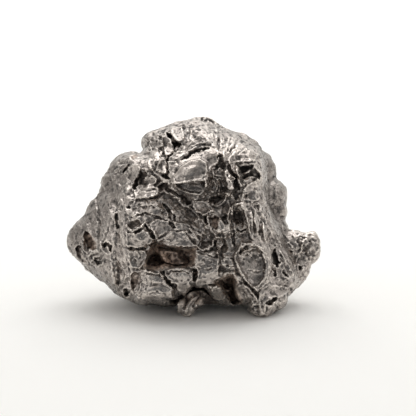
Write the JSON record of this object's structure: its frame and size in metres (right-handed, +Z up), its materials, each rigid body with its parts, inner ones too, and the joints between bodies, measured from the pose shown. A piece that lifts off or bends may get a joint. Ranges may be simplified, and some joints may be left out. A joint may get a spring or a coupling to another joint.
{
  "type": "iron meteorite",
  "caption": "Rough natural lump of bare nickel-iron with broken ledges, sharp ridges, dark rusty cavities and worn feet that it rests on.",
  "frame": {"origin": "bottom centre of the stone's box, on the surface that it rests on", "axes": "+X along the stone's width to the right of its pitted face, -Y out of that face, +Z up"},
  "size_m": [0.0402, 0.0262, 0.0294],
  "materials": {
    "iron": "worn bare metal, satin, with dark brown oxide in the hollows"
  },
  "bodies": {
    "root": {"meteorite": "iron"}
  },
  "joints": []
}
